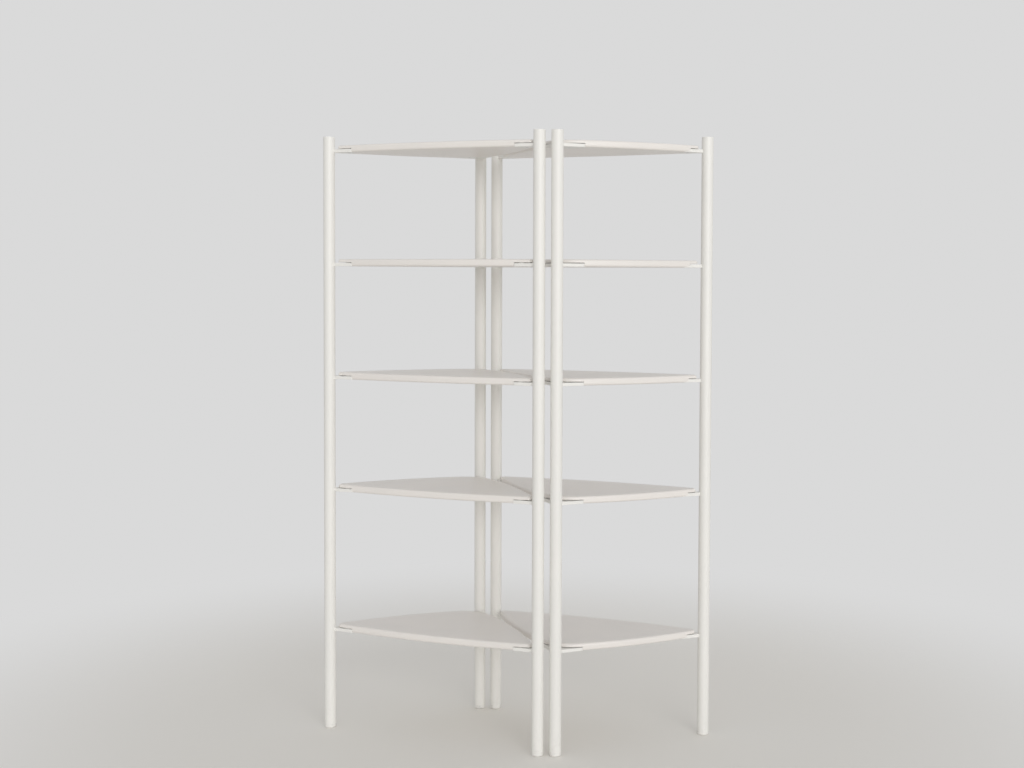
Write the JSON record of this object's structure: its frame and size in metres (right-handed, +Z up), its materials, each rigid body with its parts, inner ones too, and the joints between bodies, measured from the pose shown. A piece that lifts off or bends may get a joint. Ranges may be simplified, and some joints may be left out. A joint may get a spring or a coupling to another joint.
{
  "type": "corner shelf unit",
  "caption": "Open triangular shelf units standing side by side: bowed panels on flush corner brackets between round tube posts with levelling feet.",
  "frame": {"origin": "middle of the pair's footprint, on the floor", "axes": "+Z up, +X along the pair from the left unit to the right unit, +Y towards the rear"},
  "size_m": [1.084, 0.558, 1.85],
  "materials": {
    "post_paint": "warm off-white powder coat, satin, with a fine orange peel",
    "shelf_lacquer": "warm off-white lacquer on a wood panel, satin",
    "foot_paint": "warm off-white powder coat on a turned steel foot, satin",
    "hardware_zinc": "bright zinc plate"
  },
  "bodies": {
    "frame": {"bracket_left_front_1": "post_paint", "bracket_left_front_2": "post_paint", "bracket_left_front_3": "post_paint", "bracket_left_front_4": "post_paint", "bracket_left_front_5": "post_paint", "bracket_left_outer_1": "post_paint", "bracket_left_outer_2": "post_paint", "bracket_left_outer_3": "post_paint", "bracket_left_outer_4": "post_paint", "bracket_left_outer_5": "post_paint", "bracket_left_rear_1": "post_paint", "bracket_left_rear_2": "post_paint", "bracket_left_rear_3": "post_paint", "bracket_left_rear_4": "post_paint", "bracket_left_rear_5": "post_paint", "bracket_right_front_1": "post_paint", "bracket_right_front_2": "post_paint", "bracket_right_front_3": "post_paint", "bracket_right_front_4": "post_paint", "bracket_right_front_5": "post_paint", "bracket_right_outer_1": "post_paint", "bracket_right_outer_2": "post_paint", "bracket_right_outer_3": "post_paint", "bracket_right_outer_4": "post_paint", "bracket_right_outer_5": "post_paint", "bracket_right_rear_1": "post_paint", "bracket_right_rear_2": "post_paint", "bracket_right_rear_3": "post_paint", "bracket_right_rear_4": "post_paint", "bracket_right_rear_5": "post_paint", "cap_left_front": "post_paint", "cap_left_outer": "post_paint", "cap_left_rear": "post_paint", "cap_right_front": "post_paint", "cap_right_outer": "post_paint", "cap_right_rear": "post_paint", "foot_inserts": "hardware_zinc", "post_left_front": "post_paint", "post_left_outer": "post_paint", "post_left_rear": "post_paint", "post_right_front": "post_paint", "post_right_outer": "post_paint", "post_right_rear": "post_paint", "shelf_left_1": "shelf_lacquer", "shelf_left_2": "shelf_lacquer", "shelf_left_3": "shelf_lacquer", "shelf_left_4": "shelf_lacquer", "shelf_left_5": "shelf_lacquer", "shelf_right_1": "shelf_lacquer", "shelf_right_2": "shelf_lacquer", "shelf_right_3": "shelf_lacquer", "shelf_right_4": "shelf_lacquer", "shelf_right_5": "shelf_lacquer", "shelf_screws": "hardware_zinc"},
    "foot_left_front": {"foot_left_front": "foot_paint"},
    "foot_left_outer": {"foot_left_outer": "foot_paint"},
    "foot_left_rear": {"foot_left_rear": "foot_paint"},
    "foot_right_front": {"foot_right_front": "foot_paint"},
    "foot_right_outer": {"foot_right_outer": "foot_paint"},
    "foot_right_rear": {"foot_right_rear": "foot_paint"}
  },
  "joints": [
    {"name": "left_rear_foot_level", "type": "slide", "parent": "frame", "child": "foot_left_rear", "axis": [0, 0, -1], "range_m": [0, 0.012]},
    {"name": "left_outer_foot_level", "type": "slide", "parent": "frame", "child": "foot_left_outer", "axis": [0, 0, -1], "range_m": [0, 0.012]},
    {"name": "left_front_foot_level", "type": "slide", "parent": "frame", "child": "foot_left_front", "axis": [0, 0, -1], "range_m": [0, 0.012]},
    {"name": "right_front_foot_level", "type": "slide", "parent": "frame", "child": "foot_right_front", "axis": [0, 0, -1], "range_m": [0, 0.012]},
    {"name": "right_outer_foot_level", "type": "slide", "parent": "frame", "child": "foot_right_outer", "axis": [0, 0, -1], "range_m": [0, 0.012]},
    {"name": "right_rear_foot_level", "type": "slide", "parent": "frame", "child": "foot_right_rear", "axis": [0, 0, -1], "range_m": [0, 0.012]}
  ]
}
